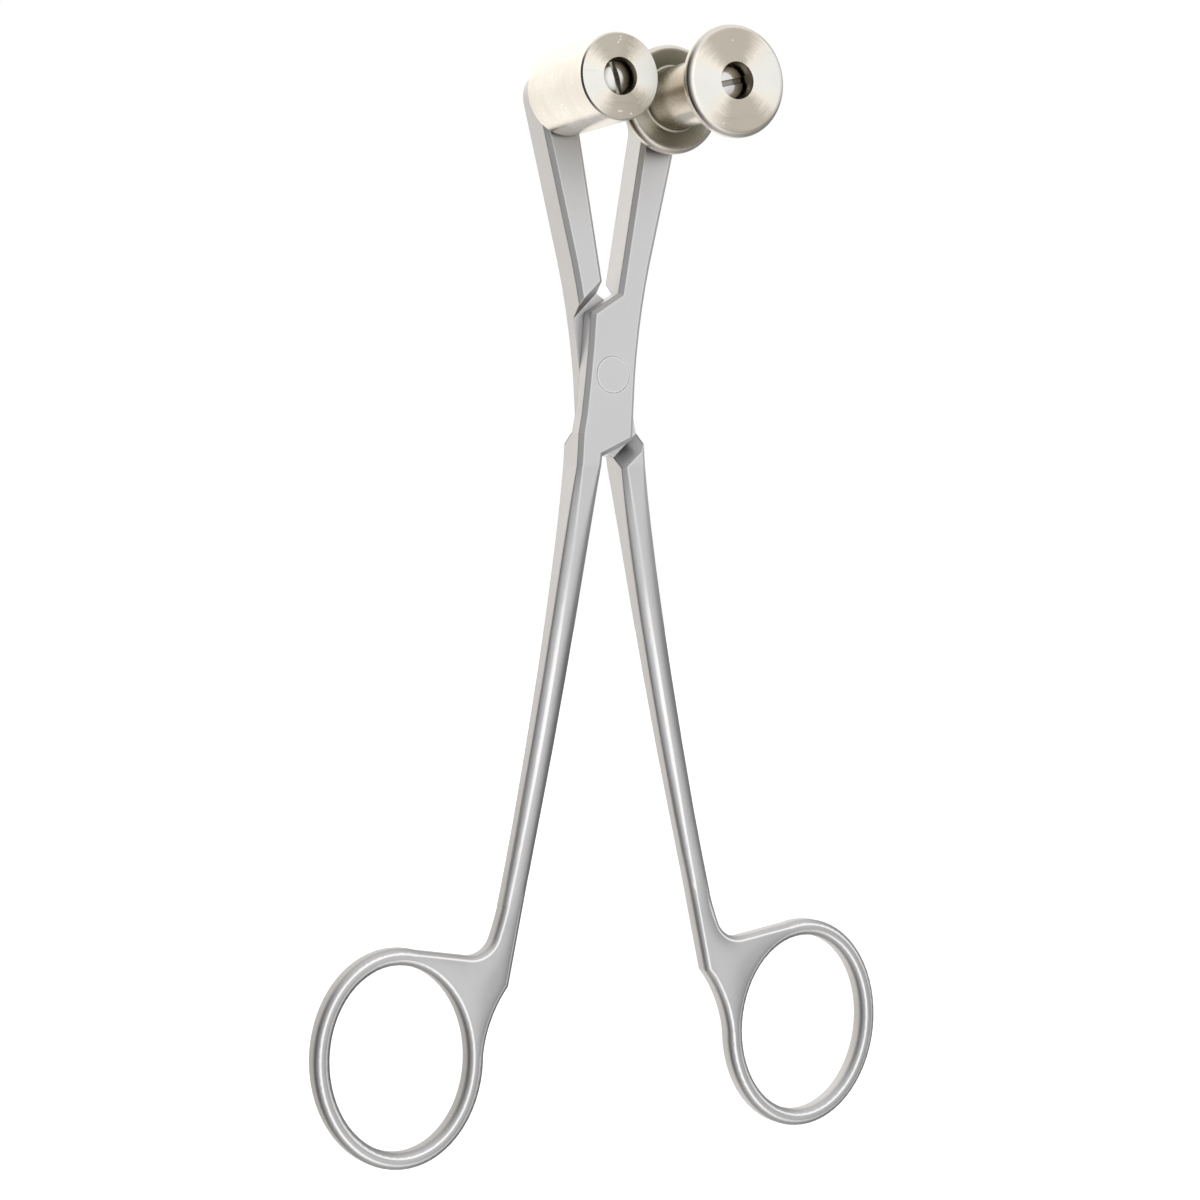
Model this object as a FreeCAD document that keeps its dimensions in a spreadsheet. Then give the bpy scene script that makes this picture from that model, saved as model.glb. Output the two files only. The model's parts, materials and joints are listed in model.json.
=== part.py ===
import FreeCAD, Part
import math
import os

import Sketcher
from FreeCAD import Placement, Rotation, Vector

# Roller forceps for stripping flexible tubing: two identical stainless arms crossed in a lap joint,
# finger rings below, and a turned roller standing forward from each arm tip.
# Frame, in millimetres: X to the right, Y to the rear and Z up. The origin lies on the pivot's axis,
# at the flat back of the joint, where the tool rests on a table.
# The rest pose is nearly closed: the arms can swing 3 degrees further in, until the flanges meet
# the plain roller.

DIMENSIONS = {
    # pivot and lap joint
    "arm_thickness": 6.8,
    "lap_gap": 0.04,
    "rivet_radius": 2.5,
    "rivet_flare": 0.8,
    "pivot_clearance": 0.03,
    "shoulder_slope": 31.0,
    "half_turn": 180.0,
    # outline of the front arm, from the tip down to the handle
    "tip_x": 9.86,
    "tip_z": 48.7,
    "eye_radius": 4.8,
    "eye_blend": 4.0,
    "tangent_x": 14.526,
    "tangent_z": 47.572,
    "eye_low_x": 5.863,
    "eye_low_z": 46.047,
    "inner_top_x": 6.457,
    "inner_top_z": 43.15,
    "crotch_x": 1.48,
    "crotch_z": 14.5,
    "upper_corner_x": -4.0,
    "upper_corner_z": 11.0,
    "waist_left_x": -5.9,
    "waist_left_z": -7.2,
    "waist_left_radius": 300.0,
    "hip_x": -6.5,
    "hip_z": -10.4,
    "shank_bend_x": 7.9,
    "shank_bend_z": 20.0,
    "shank_bend_radius": 140.0,
    "waist_right_x": 4.85,
    "lower_corner_x": 4.2,
    "lower_corner_z": -11.5,
    "handle_root_x": -1.82,
    "handle_root_z": -14.38,
    "arm_bevel": 0.8,
    # recess that takes the other arm
    "recess_near_x": 10.0,
    "recess_near_z": 6.03,
    "recess_top_x": -3.0,
    "recess_top_z": 19.1,
    "recess_far_x": -12.0,
    "recess_far_z": -4.75,
    "recess_low_x": 10.0,
    "recess_low_z": -25.8,
    # handle: a tapering bar with a crowned front and back
    "handle_top_z": -16.0,
    "handle_top_x": -4.44,
    "handle_lean": 0.15,
    "handle_curl": 0.00051,
    "handle_width": 4.82,
    "handle_taper": 0.0112,
    "handle_thickness": 4.6,
    "handle_slimming": 0.0104,
    "thinning_reach": 14.0,
    "bevel_arc_radius": 6.0,
    "crown_run": 1.7,
    "crown_drop": 0.9,
    "crowning_reach": 14.0,
    "crown_end": 48.0,
    "crown_fade": 25.0,
    # finger ring and the web that joins it to the handle
    "ring_x": -40.7,
    "ring_z": -118.0,
    "ring_half_height": 17.54,
    "ring_half_width": 14.39,
    "ring_tilt": 4.8,
    "ring_band": 2.9,
    "ring_depth": 3.8,
    "ring_edge_radius": 1.05,
    "web_top_z": -89.0,
    "web_top_right_x": -16.15,
    "web_corner_x": -19.95,
    "web_corner_z": -107.0,
    "web_side_radius": 22.85,
    "web_foot_x": -24.92,
    "web_foot_z": -119.4,
    "web_band_low_x": -26.36,
    "web_band_low_z": -119.2,
    "web_band_low_radius": 19.8,
    "web_band_x": -29.52,
    "web_band_z": -106.49,
    "web_band_radius": 13.4,
    "web_band_top_x": -38.79,
    "web_band_top_z": -100.69,
    "web_shoulder_x": -38.5,
    "web_shoulder_z": -99.4,
    "web_notch_x": -27.6,
    "web_notch_z": -101.2,
    "web_notch_radius": 4.41,
    "web_crook_x": -22.75,
    "web_crook_z": -98.6,
    "web_flare_radius": 51.6,
    "web_top_left_x": -20.05,
    # rollers, axles and their hardware
    "roller_gap": 0.8,
    "axle_radius": 2.0,
    "axle_flare": 0.6,
    "bore_radius": 3.2,
    "bush_clearance": 0.03,
    "end_play": 0.05,
    "washer_thickness": 0.7,
    "washer_radius": 4.6,
    "retainer_thickness": 0.5,
    "retainer_radius": 3.1,
    "plain_radius": 7.45,
    "plain_length": 19.9,
    "roller_chamfer": 0.25,
    "roller_front_chamfer": 0.375,
    "plain_recess": 3.55,
    "barrel_radius": 5.5,
    "flange_radius": 9.65,
    "flange_thickness": 2.6,
    "flange_round": 1.15,
    "barrel_fillet": 0.6,
    "hub_length": 1.2,
    "spool_length": 25.3,
    "flanged_recess": 4.65,
    # slotted screws
    "screw_radius": 1.25,
    "screw_length": 8.0,
    "tap_depth": 10.0,
    "tap_point": 0.75,
    "plain_head_radius": 2.8,
    "plain_head_rim": 1.0,
    "plain_head_dome": 0.65,
    "flanged_head_radius": 2.75,
    "flanged_head_rim": 1.25,
    "flanged_head_dome": 0.35,
    "slot_width": 1.0,
    "slot_depth": 0.9,
    "plain_slot_angle": 74.0,
    "flanged_slot_angle": -14.0,
}

FRONT = -1
REAR = 1
HANDLE_STATIONS = (0.0, 8.0, 16.0, 26.0, 42.0, 58.0, 77.0)
CUT_SLACK = 0.5
SHORT_EDGE = 2.5
TOUCH = 0.01


class Size:
    """A number together with the sheet formula that it is worked out with."""

    def __init__(self, value, formula):
        self.value = value
        self.formula = formula

    def __add__(self, other):
        other = as_size(other)
        return Size(self.value + other.value, f"({self.formula} + {other.formula})")

    def __sub__(self, other):
        other = as_size(other)
        return Size(self.value - other.value, f"({self.formula} - {other.formula})")

    def __mul__(self, other):
        other = as_size(other)
        return Size(self.value * other.value, f"({self.formula} * {other.formula})")

    def __truediv__(self, other):
        other = as_size(other)
        return Size(self.value / other.value, f"({self.formula} / {other.formula})")

    def __neg__(self):
        return Size(-self.value, f"(-1 * {self.formula})")


def as_size(number):
    if isinstance(number, Size):
        return number
    return Size(float(number), f"{float(number):.6f}")


def size(alias):
    return Size(DIMENSIONS[alias], f"Sizes.{alias}")


def make_sheet(doc):
    sheet = doc.addObject("Spreadsheet::Sheet", "Sizes")
    for row, (alias, value) in enumerate(DIMENSIONS.items(), start=1):
        sheet.set(f"A{row}", alias)
        sheet.set(f"B{row}", str(value))
        sheet.setAlias(f"B{row}", alias)
    return sheet


def make_body(doc, label):
    body = doc.addObject("PartDesign::Body", label)
    body.Label = label
    return body


def place(body, x, z, turn_axis=Vector(0, 1, 0), angle=None):
    """Puts a body's own origin at (x, z) in the middle plane of the arms, turned by the angle."""
    middle_plane = -half_thickness()
    turned = as_size(0.0) if angle is None else angle
    spot = Vector(x.value, middle_plane.value, z.value)
    body.Placement = Placement(spot, Rotation(turn_axis, turned.value))
    body.setExpression("Placement.Base.x", x.formula)
    body.setExpression("Placement.Base.y", middle_plane.formula)
    body.setExpression("Placement.Base.z", z.formula)
    if angle is not None:
        body.setExpression("Placement.Rotation.Angle", angle.formula)


def half_thickness():
    return size("arm_thickness") * 0.5


def origin_plane(body, role):
    return next(item for item in body.Origin.OriginFeatures if item.Role == role)


def make_sketch(body, name, role, offset=None):
    sketch = body.newObject("Sketcher::SketchObject", name)
    sketch.AttachmentSupport = [(origin_plane(body, role), "")]
    sketch.MapMode = "FlatFace"
    if offset is not None:
        sketch.setExpression("AttachmentOffset.Base.z", offset.formula)
    return sketch


def hold(sketch, kind, places, target):
    """Adds one driving constraint and ties it to its sheet formula."""
    index = sketch.addConstraint(Sketcher.Constraint(kind, *places, target.value))
    sketch.setExpression(f"Constraints[{index}]", target.formula)


def arc_middle(start, end, radius, side):
    """Middle point of an arc from start to end that bulges to the left of travel for side +1."""
    chord = end - start
    left = Vector(-chord.y, chord.x, 0).normalize()
    rise = radius - math.sqrt(radius**2 - (chord.Length / 2) ** 2)
    return (start + end) / 2 + left * rise * side


def draw_outline(sketch, corners):
    """Closed outline through corners (x, y) or (x, y, radius, side), where an arc arrives at the corner."""
    points = [Vector(corner[0].value, corner[1].value, 0) for corner in corners]
    pieces = []
    for number, corner in enumerate(corners):
        start = points[number - 1]
        end = points[number]
        if len(corner) == 4:
            middle = arc_middle(start, end, corner[2].value, corner[3])
            piece = sketch.addGeometry(Part.Arc(start, middle, end), False)
            hold(sketch, "Radius", (piece,), corner[2])
        else:
            piece = sketch.addGeometry(Part.LineSegment(start, end), False)
        pieces.append(piece)
    for number, corner in enumerate(corners):
        piece = pieces[number]
        following = pieces[(number + 1) % len(pieces)]
        end_spot = nearest_end(sketch, piece, points[number])
        start_spot = nearest_end(sketch, following, points[number])
        sketch.addConstraint(Sketcher.Constraint("Coincident", piece, end_spot, following, start_spot))
        hold(sketch, "DistanceX", (-1, 1, piece, end_spot), corner[0])
        hold(sketch, "DistanceY", (-1, 1, piece, end_spot), corner[1])


def nearest_end(sketch, piece, point):
    """1 for the start and 2 for the end of a sketch piece, whichever lies at the point."""
    first = sketch.getPoint(piece, 1)
    second = sketch.getPoint(piece, 2)
    return 1 if first.distanceToPoint(point) < second.distanceToPoint(point) else 2


def draw_circle(sketch, x, y, radius):
    centre = Vector(x.value, y.value, 0)
    circle = sketch.addGeometry(Part.Circle(centre, Vector(0, 0, 1), radius.value), False)
    hold(sketch, "Radius", (circle,), radius)
    hold(sketch, "DistanceX", (-1, 1, circle, 3), x)
    hold(sketch, "DistanceY", (-1, 1, circle, 3), y)


def arc_radius(run, drop):
    """Radius of an arc that starts level and drops by an amount over a run."""
    return (run * run + drop * drop) / (drop * 2)


def rounded_rectangle(x, y, width, height, run, drop, radius):
    """Corners of a rectangle about (x, y), counter-clockwise. Each corner is taken off by an arc that
    cuts the run from the level sides and the drop from the upright ones."""
    left = x - width * 0.5
    right = x + width * 0.5
    low = y - height * 0.5
    top = y + height * 0.5
    return [
        (left + run, low, radius, -1),
        (right - run, low),
        (right, low + drop, radius, -1),
        (right, top - drop),
        (right - run, top, radius, -1),
        (left + run, top),
        (left, top - drop, radius, -1),
        (left, low + drop),
    ]


def add_pad(body, name, sketch, thickness):
    pad = body.newObject("PartDesign::Pad", name)
    pad.Profile = sketch
    pad.SideType = "Symmetric"
    pad.setExpression("Length", thickness.formula)
    body.Document.recompute()
    return pad


def add_through_pocket(body, name, sketch):
    pocket = body.newObject("PartDesign::Pocket", name)
    pocket.Profile = sketch
    pocket.SideType = "Symmetric"
    pocket.Type = "Length"
    pocket.setExpression("Length", (size("arm_thickness") * 4).formula)
    body.Document.recompute()
    return pocket


def edges_where(feature, test):
    """Names of the feature's edges whose middle point and edge pass the test."""
    names = []
    for number, edge in enumerate(feature.Shape.Edges, start=1):
        middle = edge.valueAt((edge.FirstParameter + edge.LastParameter) / 2)
        if test(middle, edge):
            names.append(f"Edge{number}")
    return names


def add_fillet(body, name, base, radius, test):
    fillet = body.newObject("PartDesign::Fillet", name)
    fillet.Base = (base, edges_where(base, test))
    fillet.setExpression("Radius", radius.formula)
    body.Document.recompute()
    return fillet


def add_chamfer(body, name, base, width, test):
    chamfer = body.newObject("PartDesign::Chamfer", name)
    chamfer.Base = (base, edges_where(base, test))
    chamfer.setExpression("Size", width.formula)
    body.Document.recompute()
    return chamfer


# ---------------------------------------------------------------------------------- the arms


def handle_centre(station):
    """X of the handle's middle at a distance below the top of the handle."""
    lean = size("handle_lean") * station
    curl = size("handle_curl") * (station * station)
    return size("handle_top_x") - lean - curl


def handle_growth(station, reach):
    """Share, 0 to 1, of the change from the joint's flat section to the handle's own section."""
    return 1 - math.exp(-station / DIMENSIONS[reach])


def handle_edge(station):
    """Run, drop and arc radius of the handle's edges: first the plate's bevel, then the crown, and at the
    end the ring's rounding."""
    fade = (station - DIMENSIONS["crown_end"]) / DIMENSIONS["crown_fade"]
    as_ring = min(max(fade, 0.0), 1.0)
    as_crown = handle_growth(station, "crowning_reach") * (1 - as_ring)
    as_bevel = 1 - as_ring - as_crown
    rounding = size("ring_edge_radius") * as_ring
    crown_radius = arc_radius(size("crown_run"), size("crown_drop"))
    run = size("arm_bevel") * as_bevel + size("crown_run") * as_crown + rounding
    drop = size("arm_bevel") * as_bevel + size("crown_drop") * as_crown + rounding
    radius = size("bevel_arc_radius") * as_bevel + crown_radius * as_crown + rounding
    return run, drop, radius


def handle_section(body, station):
    """One cross-section of the handle."""
    height = size("handle_top_z") - station
    sketch = make_sketch(body, "HandleSection", "XY_Plane", height)
    thinned = handle_growth(station, "thinning_reach")
    thickness = size("arm_thickness") - (size("arm_thickness") - size("handle_thickness")) * thinned
    thickness = thickness - size("handle_slimming") * station
    width = size("handle_width") - size("handle_taper") * station
    edge = handle_edge(station)
    corners = rounded_rectangle(handle_centre(station), as_size(0.0), width, thickness, *edge)
    draw_outline(sketch, corners)
    return sketch


def add_web(body):
    """Flat web between the handle's end and the finger ring, as deep and as rounded as the ring.
    Its outer edges run into the ring's outline, and its inner edge lies in the middle of the ring's band."""
    sketch = make_sketch(body, "WebOutline", "XZ_Plane")
    corners = [
        (size("web_top_right_x"), size("web_top_z")),
        (size("web_corner_x"), size("web_corner_z")),
        (size("web_foot_x"), size("web_foot_z"), size("web_side_radius"), -1),
        (size("web_band_low_x"), size("web_band_low_z")),
        (size("web_band_x"), size("web_band_z"), size("web_band_low_radius"), -1),
        (size("web_band_top_x"), size("web_band_top_z"), size("web_band_radius"), -1),
        (size("web_shoulder_x"), size("web_shoulder_z")),
        (size("web_notch_x"), size("web_notch_z")),
        (size("web_crook_x"), size("web_crook_z"), size("web_notch_radius"), -1),
        (size("web_top_left_x"), size("web_top_z"), size("web_flare_radius"), -1),
    ]
    draw_outline(sketch, corners)
    return add_pad(body, "Web", sketch, size("ring_depth"))


def add_ring(body):
    """Finger ring: a rounded section swept round a leaning ellipse."""
    centre = Vector(DIMENSIONS["ring_x"], DIMENSIONS["ring_z"], 0)
    path = make_sketch(body, "RingPath", "XZ_Plane")
    path.AttachmentOffset = Placement(centre, Rotation(Vector(0, 0, 1), DIMENSIONS["ring_tilt"]))
    path.setExpression("AttachmentOffset.Base.x", size("ring_x").formula)
    path.setExpression("AttachmentOffset.Base.y", size("ring_z").formula)
    path.setExpression("AttachmentOffset.Rotation.Angle", size("ring_tilt").formula)
    half_height = DIMENSIONS["ring_half_height"]
    half_width = DIMENSIONS["ring_half_width"]
    ellipse = Part.Ellipse(Vector(0, half_height, 0), Vector(half_width, 0, 0), Vector(0, 0, 0))
    loop = path.addGeometry(ellipse, False)
    path.exposeInternalGeometry(loop)
    path.addConstraint(Sketcher.Constraint("Coincident", loop, 3, -1, 1))
    path.addConstraint(Sketcher.Constraint("PointOnObject", loop + 1, 1, -2))
    hold(path, "Distance", (loop + 1,), size("ring_half_height") * 2)
    hold(path, "Distance", (loop + 2,), size("ring_half_width") * 2)

    section = make_sketch(body, "RingSection", "YZ_Plane")
    spot = Vector(0, DIMENSIONS["ring_z"], DIMENSIONS["ring_x"])
    section.AttachmentOffset = Placement(spot, Rotation(Vector(1, 0, 0), -DIMENSIONS["ring_tilt"]))
    section.setExpression("AttachmentOffset.Base.y", size("ring_z").formula)
    section.setExpression("AttachmentOffset.Base.z", size("ring_x").formula)
    section.setExpression("AttachmentOffset.Rotation.Angle", (-size("ring_tilt")).formula)
    top = size("ring_half_height")
    depth = size("ring_depth")
    rounding = size("ring_edge_radius")
    corners = rounded_rectangle(as_size(0.0), top, depth, size("ring_band"), rounding, rounding, rounding)
    draw_outline(section, corners)
    ring = body.newObject("PartDesign::AdditivePipe", "Ring")
    ring.Profile = section
    ring.Spine = (path, ["Edge1"])
    ring.Mode = "Frenet"
    body.Document.recompute()
    return ring


def add_handle(body):
    sections = [handle_section(body, station) for station in HANDLE_STATIONS]
    handle = body.newObject("PartDesign::AdditiveLoft", "Handle")
    handle.Profile = sections[0]
    handle.Sections = sections[1:]
    body.Document.recompute()
    return handle


def add_joint_plate(body):
    """Flat upper arm: shank, lap joint and the root of the handle."""
    sketch = make_sketch(body, "PlateOutline", "XZ_Plane")
    half_width = size("handle_width") * 0.5
    eye = size("eye_radius")
    corners = [
        (size("handle_top_x") - half_width, size("handle_top_z")),
        (size("handle_top_x") + half_width, size("handle_top_z")),
        (size("handle_root_x"), size("handle_root_z")),
        (size("lower_corner_x"), size("lower_corner_z")),
        (size("waist_right_x"), as_size(0.0)),
        (size("shank_bend_x"), size("shank_bend_z"), size("shank_bend_radius"), 1),
        (size("tangent_x"), size("tangent_z")),
        (size("tip_x"), size("tip_z") + eye, eye, -1),
        (size("tip_x") - eye, size("tip_z"), eye, -1),
        (size("eye_low_x"), size("eye_low_z"), eye, -1),
        (size("inner_top_x"), size("inner_top_z"), size("eye_blend"), 1),
        (size("crotch_x"), size("crotch_z")),
        (size("upper_corner_x"), size("upper_corner_z")),
        (size("waist_left_x"), size("waist_left_z"), size("waist_left_radius"), 1),
        (size("hip_x"), size("hip_z")),
    ]
    draw_outline(sketch, corners)
    return add_pad(body, "Plate", sketch, size("arm_thickness"))


def is_plate_rim(middle, edge):
    """Edges of the arm's flat faces, above the handle."""
    above = middle.z > DIMENSIONS["handle_top_z"] + TOUCH
    return above and lies_on_face(middle, edge, "arm_thickness")


def is_free_web_edge(middle, edge):
    """Edges of the web's flat faces that aren't buried in the ring's band or in the handle."""
    ends = [vertex.Point for vertex in edge.Vertexes]
    in_band = all(is_in_band(end) for end in ends)
    in_handle = abs(middle.z - DIMENSIONS["web_top_z"]) < TOUCH
    short = edge.Length < SHORT_EDGE
    return lies_on_face(middle, edge, "ring_depth") and not (in_band or in_handle or short)


def is_in_band(point):
    """True for a corner of the web that lies in the middle of the ring's band."""
    corners = ("web_band_low", "web_band", "web_band_top")
    return any(
        abs(point.x - DIMENSIONS[name + "_x"]) < TOUCH and abs(point.z - DIMENSIONS[name + "_z"]) < TOUCH
        for name in corners
    )


def lies_on_face(middle, edge, thickness):
    """True for an edge in the flat face at half the named thickness from the middle plane."""
    on_face = abs(abs(middle.y) - DIMENSIONS[thickness] / 2) < TOUCH
    return on_face and edge.BoundBox.YLength < TOUCH


def cut_lap_recess(body):
    """Takes half the thickness away on the rear side, between two sloping shoulders."""
    sketch = make_sketch(body, "LapOutline", "XZ_Plane", size("lap_gap") * 0.5)
    corners = [
        (size("recess_top_x"), size("recess_top_z")),
        (size("recess_far_x"), size("recess_far_z")),
        (size("recess_low_x"), size("recess_low_z")),
        (size("recess_near_x"), size("recess_near_z")),
    ]
    draw_outline(sketch, corners)
    pocket = body.newObject("PartDesign::Pocket", "LapRecess")
    pocket.Profile = sketch
    pocket.Type = "Length"
    pocket.setExpression("Length", (half_thickness() + CUT_SLACK).formula)
    pocket.setExpression("TaperAngle", size("shoulder_slope").formula)
    body.Document.recompute()
    return pocket


def cut_hole(body, name, x, z, radius):
    sketch = make_sketch(body, name + "Outline", "XZ_Plane")
    draw_circle(sketch, x, z, radius)
    return add_through_pocket(body, name, sketch)


def is_mouth(x, z, radius, side):
    """Test for the round edge of a hole on the arm's front (-1) or rear (+1) face."""

    def test(middle, edge):
        if edge.Curve.TypeId != "Part::GeomCircle":
            return False
        centre = edge.Curve.Center
        near = abs(centre.x - x.value) < TOUCH and abs(centre.z - z.value) < TOUCH
        same = abs(edge.Curve.Radius - radius.value) < TOUCH
        return near and same and centre.y * side > 0

    return test


def make_arm(doc, label, axle_mouth):
    """One arm as the front arm lies. axle_mouth is the side where the axle's riveted end is flush."""
    body = make_body(doc, label)
    plate = add_joint_plate(body)
    add_chamfer(body, "ArmBevels", plate, size("arm_bevel"), is_plate_rim)
    web = add_web(body)
    add_fillet(body, "WebRounding", web, size("ring_edge_radius"), is_free_web_edge)
    add_ring(body)
    add_handle(body)
    cut_lap_recess(body)
    pivot_radius = size("rivet_radius") + size("pivot_clearance")
    zero = as_size(0.0)
    hole = cut_hole(body, "PivotHole", zero, zero, pivot_radius)
    mouth = is_mouth(zero, zero, pivot_radius, FRONT)
    add_chamfer(body, "PivotSink", hole, size("rivet_flare"), mouth)
    hole = cut_hole(body, "AxleHole", size("tip_x"), size("tip_z"), size("axle_radius"))
    mouth = is_mouth(size("tip_x"), size("tip_z"), size("axle_radius"), axle_mouth)
    add_chamfer(body, "AxleSink", hole, size("axle_flare"), mouth)
    return body


def make_front_arm(doc):
    body = make_arm(doc, "front_arm", REAR)
    place(body, as_size(0.0), as_size(0.0))
    return body


def make_rear_arm(doc):
    """The same forging turned half round, so that its recess faces the front arm's."""
    body = make_arm(doc, "rear_arm", FRONT)
    place(body, as_size(0.0), as_size(0.0), Vector(0, 0, 1), size("half_turn"))
    return body


# ------------------------------------------------------------------ turned pieces about the Y axis


def turn(doc, label, corners):
    """A body turned about its own Y axis from corners given as (y, radius)."""
    body = make_body(doc, label)
    sketch = make_sketch(body, "Profile", "YZ_Plane")
    draw_outline(sketch, corners)
    revolution = body.newObject("PartDesign::Revolution", "Turned")
    revolution.Profile = sketch
    revolution.ReferenceAxis = (sketch, ["H_Axis"])
    revolution.Angle = 360
    doc.recompute()
    return body


def roller_rear():
    return -half_thickness() - size("roller_gap")


def make_pivot_rivet(doc):
    """Riveted pin, its flared ends flush with both faces of the joint."""
    half = half_thickness()
    radius = size("rivet_radius")
    flare = size("rivet_flare")
    zero = as_size(0.0)
    corners = [
        (-half, zero),
        (-half, radius + flare),
        (-half + flare, radius),
        (half - flare, radius),
        (half, radius + flare),
        (half, zero),
    ]
    body = turn(doc, "pivot_rivet", corners)
    place(body, zero, zero)
    return body


def make_plain_roller(doc):
    rear = roller_rear()
    front = rear - size("plain_length")
    chamfer = size("roller_chamfer")
    front_chamfer = size("roller_front_chamfer")
    radius = size("plain_radius")
    corners = [
        (rear, size("bore_radius")),
        (rear, radius - chamfer),
        (rear - chamfer, radius),
        (front + front_chamfer, radius),
        (front, radius - chamfer),
        (front, size("bore_radius")),
    ]
    return turn(doc, "plain_roller", corners)


def flange_corners(rear):
    """Rim of one flange from its rear face to its front face, both edges rounded."""
    round_radius = size("flange_round")
    radius = size("flange_radius")
    front = rear - size("flange_thickness")
    return [
        (rear, radius - round_radius),
        (rear - round_radius, radius, round_radius, -1),
        (front + round_radius, radius),
        (front, radius - round_radius, round_radius, -1),
    ]


def make_flanged_roller(doc):
    """Spool: a rear hub, two flanges with rounded rims and the barrel between them."""
    rear = roller_rear()
    first = rear - size("hub_length")
    barrel_rear = first - size("flange_thickness")
    front = rear - size("spool_length")
    barrel_front = front + size("flange_thickness")
    barrel = size("barrel_radius")
    fillet = size("barrel_fillet")
    corners = [(rear, size("bore_radius")), (rear, barrel), (first, barrel)]
    corners += flange_corners(first)
    corners += [
        (barrel_rear, barrel + fillet),
        (barrel_rear - fillet, barrel, fillet, 1),
        (barrel_front + fillet, barrel),
        (barrel_front, barrel + fillet, fillet, 1),
    ]
    corners += flange_corners(barrel_front)
    corners += [(front, size("bore_radius"))]
    return turn(doc, "flanged_roller", corners)


def make_bush(doc, label, length, recess):
    """Bronze sleeve pressed into the roller, ending behind the retaining washer."""
    rear = roller_rear() - size("end_play")
    front = roller_rear() - length + recess
    inner = size("axle_radius") + size("bush_clearance")
    outer = size("bore_radius")
    corners = [(rear, inner), (rear, outer), (front, outer), (front, inner)]
    return turn(doc, label, corners)


def axle_end(length, recess):
    """Y of the axle's threaded end, which the retaining washer is screwed against."""
    return roller_rear() - length + recess - size("end_play")


def make_axle(doc, label, length, recess):
    """Fixed axle, riveted flush in the arm and tapped at the front."""
    rear = half_thickness()
    front = axle_end(length, recess)
    radius = size("axle_radius")
    flare = size("axle_flare")
    tap_end = front + size("tap_depth")
    zero = as_size(0.0)
    corners = [
        (rear, zero),
        (rear, radius + flare),
        (rear - flare, radius),
        (front, radius),
        (front, size("screw_radius")),
        (tap_end, size("screw_radius")),
        (tap_end + size("tap_point"), zero),
    ]
    return turn(doc, label, corners)


def make_thrust_washer(doc, label):
    rear = -half_thickness()
    front = rear - size("washer_thickness")
    inner = size("axle_radius") + size("bush_clearance")
    outer = size("washer_radius")
    corners = [(rear, inner), (rear, outer), (front, outer), (front, inner)]
    return turn(doc, label, corners)


def make_retaining_washer(doc, label, length, recess):
    rear = axle_end(length, recess)
    front = rear - size("retainer_thickness")
    inner = size("screw_radius") + size("bush_clearance")
    outer = size("retainer_radius")
    corners = [(rear, inner), (rear, outer), (front, outer), (front, inner)]
    return turn(doc, label, corners)


def make_screw(doc, label, kind, length, recess):
    """Slotted screw with a domed head, recessed in the roller's bore."""
    seat = axle_end(length, recess) - size("retainer_thickness")
    rim = seat - size(kind + "_head_rim")
    dome = size(kind + "_head_dome")
    crown = rim - dome
    radius = size(kind + "_head_radius")
    zero = as_size(0.0)
    corners = [
        (seat + size("screw_length"), zero),
        (seat + size("screw_length"), size("screw_radius")),
        (seat, size("screw_radius")),
        (seat, radius),
        (rim, radius),
        (crown, zero, arc_radius(radius, dome), -1),
    ]
    body = turn(doc, label, corners)
    cut_slot(body, -crown, radius)
    return body


def cut_slot(body, crown_offset, head_radius):
    """Straight driver slot across the head."""
    sketch = make_sketch(body, "SlotOutline", "XZ_Plane", crown_offset)
    half = size("slot_width") * 0.5
    reach = head_radius + CUT_SLACK
    corners = [(-reach, -half), (reach, -half), (reach, half), (-reach, half)]
    draw_outline(sketch, corners)
    slot = body.newObject("PartDesign::Pocket", "Slot")
    slot.Profile = sketch
    slot.Type = "Length"
    slot.setExpression("Length", size("slot_depth").formula)
    body.Document.recompute()


# --------------------------------------------------------------------------------- the document


def make_roller_set(doc, kind, x):
    """One roller with its bush, axle, washers and screw, on the axis at x."""
    length = size("plain_length") if kind == "plain" else size("spool_length")
    recess = size(kind + "_recess")
    roller = make_plain_roller(doc) if kind == "plain" else make_flanged_roller(doc)
    pieces = [
        roller,
        make_bush(doc, kind + "_roller_bush", length, recess),
        make_axle(doc, kind + "_axle", length, recess),
        make_thrust_washer(doc, kind + "_thrust_washer"),
        make_retaining_washer(doc, kind + "_retaining_washer", length, recess),
    ]
    for piece in pieces:
        place(piece, x, size("tip_z"))
    screw = make_screw(doc, kind + "_axle_screw", kind, length, recess)
    place(screw, x, size("tip_z"), angle=size(kind + "_slot_angle"))
    return pieces + [screw]


def check(doc, bodies):
    """Stops before anything is written if an object failed or a body has no sound shape."""
    for item in doc.Objects:
        if "Invalid" in item.State or "Error" in item.State:
            raise RuntimeError(f"{item.Name} failed: {item.State}")
    for body in bodies:
        if body.Shape.isNull() or not body.Shape.isValid():
            raise RuntimeError(f"{body.Label} has no sound shape")
        if len(body.Shape.Solids) != 1:
            raise RuntimeError(f"{body.Label} is {len(body.Shape.Solids)} solids")


def main():
    doc = FreeCAD.newDocument("RollerForceps")
    make_sheet(doc)
    bodies = [make_front_arm(doc), make_rear_arm(doc), make_pivot_rivet(doc)]
    bodies += make_roller_set(doc, "plain", -size("tip_x"))
    bodies += make_roller_set(doc, "flanged", size("tip_x"))
    doc.recompute()
    check(doc, bodies)
    os.makedirs("parts", exist_ok=True)
    for body in bodies:
        body.Shape.exportStep(f"parts/{body.Label}.step")
        print(body.Label, round(body.Shape.Volume, 2), body.Shape.BoundBox)


main()
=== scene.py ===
import json
import math

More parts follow.
